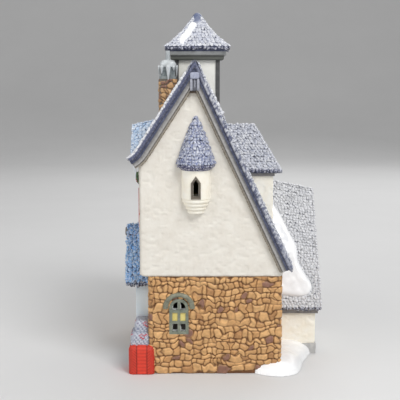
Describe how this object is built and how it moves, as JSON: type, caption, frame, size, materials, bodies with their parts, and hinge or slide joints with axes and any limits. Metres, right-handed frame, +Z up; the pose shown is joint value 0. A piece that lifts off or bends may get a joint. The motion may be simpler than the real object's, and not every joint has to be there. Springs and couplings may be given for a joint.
{
  "type": "ceramic village house",
  "caption": "Glazed ceramic winter village house with a stone ground floor, steep snowy roofs, a ridge tower, an oriel and a rear wing, lit from inside through a lamp hole.",
  "frame": {"origin": "centre of the stone storey's footprint, on the ground under the base", "axes": "+Z up, -Y out of the pictured gable end, -X out of the street front, +X towards the rear wing"},
  "size_m": [0.1219, 0.1343, 0.2146],
  "materials": {
    "bisque": "unglazed, matt",
    "stone_paint": "painted cobbles, satin glaze",
    "stucco_paint": "painted rough cast, satin glaze",
    "shingle_paint": "painted shingles, satin glaze",
    "snow_glaze": "white gloss glaze",
    "grey_trim": "painted woodwork, satin glaze",
    "tower_paint": "painted panel, satin glaze",
    "chimney_paint": "painted stone, satin glaze",
    "crown_paint": "painted stone, satin glaze",
    "frame_paint": "painted frames, satin glaze",
    "pane_yellow": "translucent yellow film",
    "porch_paint": "painted boards, satin glaze",
    "door_paint": "painted boards, satin glaze",
    "red_paint": "painted, satin glaze",
    "garland_paint": "painted greenery, satin glaze",
    "ice_glaze": "clear gloss glaze over white",
    "red_wool_paint": "cast knitwork, satin glaze",
    "grey_wool_paint": "cast knitwork, satin glaze",
    "foundation_paint": "painted stone course, satin glaze"
  },
  "bodies": {
    "root": {"base_plate": "bisque", "stone_wall_near": "stone_paint", "stone_wall_far": "stone_paint", "stone_wall_front": "stone_paint", "stone_wall_rear": "stone_paint", "stone_courses": "stone_paint", "gable_wall_near": "stucco_paint", "gable_wall_far": "stucco_paint", "stucco_wall_front": "stucco_paint", "main_roof_front_slope": "shingle_paint", "main_roof_rear_slope": "shingle_paint", "shingle_courses": "shingle_paint", "main_ridge_cap": "shingle_paint", "verge_snow": "snow_glaze", "near_front_bargeboard": "grey_trim", "near_rear_bargeboard": "grey_trim", "far_front_bargeboard": "grey_trim", "far_rear_bargeboard": "grey_trim", "gable_king_posts": "grey_trim", "tower_shaft": "tower_paint", "tower_posts": "grey_trim", "tower_cornice": "grey_trim", "tower_roof": "shingle_paint", "tower_finial": "shingle_paint", "chimney_stack": "chimney_paint", "chimney_crown": "crown_paint", "chimney_pot": "crown_paint", "chimney_snow": "snow_glaze", "oriel_bay": "stucco_paint", "oriel_corbel": "stucco_paint", "oriel_roof": "shingle_paint", "oriel_window_frame": "frame_paint", "side_window_frame": "frame_paint", "side_window_hood": "grey_trim", "window_panes": "pane_yellow", "casement_frames": "frame_paint", "dormer_walls": "stucco_paint", "dormer_eave_trim": "grey_trim", "dormer_roof": "shingle_paint", "wing_foundation": "foundation_paint", "wing_side_walls": "stucco_paint", "wing_end_wall": "stucco_paint", "wing_roof_near_slope": "shingle_paint", "wing_roof_far_slope": "shingle_paint", "wing_eave_trim": "grey_trim", "wing_roof_snow": "snow_glaze", "gablet_roof": "shingle_paint", "gablet_wall": "stucco_paint", "porch_hood": "shingle_paint", "porch_walls": "porch_paint", "front_door": "door_paint", "door_step": "foundation_paint", "hood_ring": "grey_trim", "bay_shutters": "red_paint", "bay_garland": "garland_paint", "eave_icicles": "ice_glaze", "red_wool_bundle": "red_wool_paint", "grey_wool_stack": "grey_wool_paint", "ground_snow": "snow_glaze"}
  },
  "joints": []
}
